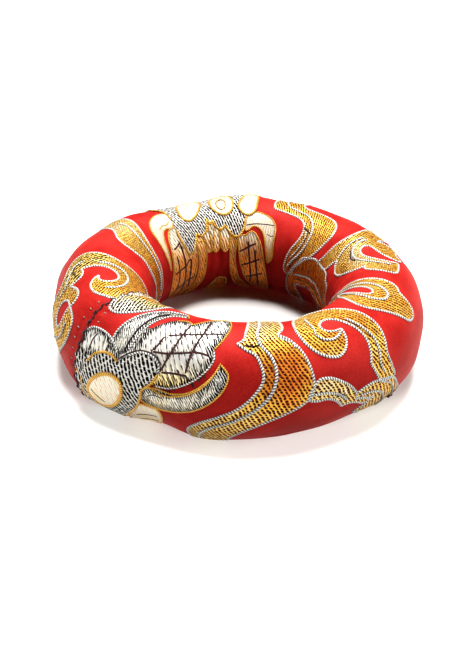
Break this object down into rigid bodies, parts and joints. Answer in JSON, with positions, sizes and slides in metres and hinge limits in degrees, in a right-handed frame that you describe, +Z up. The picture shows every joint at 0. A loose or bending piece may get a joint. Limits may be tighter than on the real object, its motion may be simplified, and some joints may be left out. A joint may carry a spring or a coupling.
{
  "type": "singing bowl ring cushion",
  "caption": "Stuffed brocade ring cushion with a round hole and a flattened foot, which a singing bowl rests on.",
  "frame": {"origin": "centre of the ring at the flat underside it stands on", "axes": "+Z up along the hole's axis, -Y is the front, and the join in the strip is at the front left"},
  "size_m": [0.13, 0.13, 0.0366],
  "materials": {
    "brocade": "red satin brocade with gold and silver lotus scrolls",
    "wadding": "matte cotton wadding",
    "dark_thread": "doubled polyester thread",
    "red_thread": "fine sewing thread"
  },
  "bodies": {
    "root": {"brocade_cover": "brocade", "wadding_roll": "wadding", "join_stitches": "dark_thread", "join_knot": "dark_thread", "seam_knot": "dark_thread", "long_seam_stitches": "red_thread"}
  },
  "joints": []
}
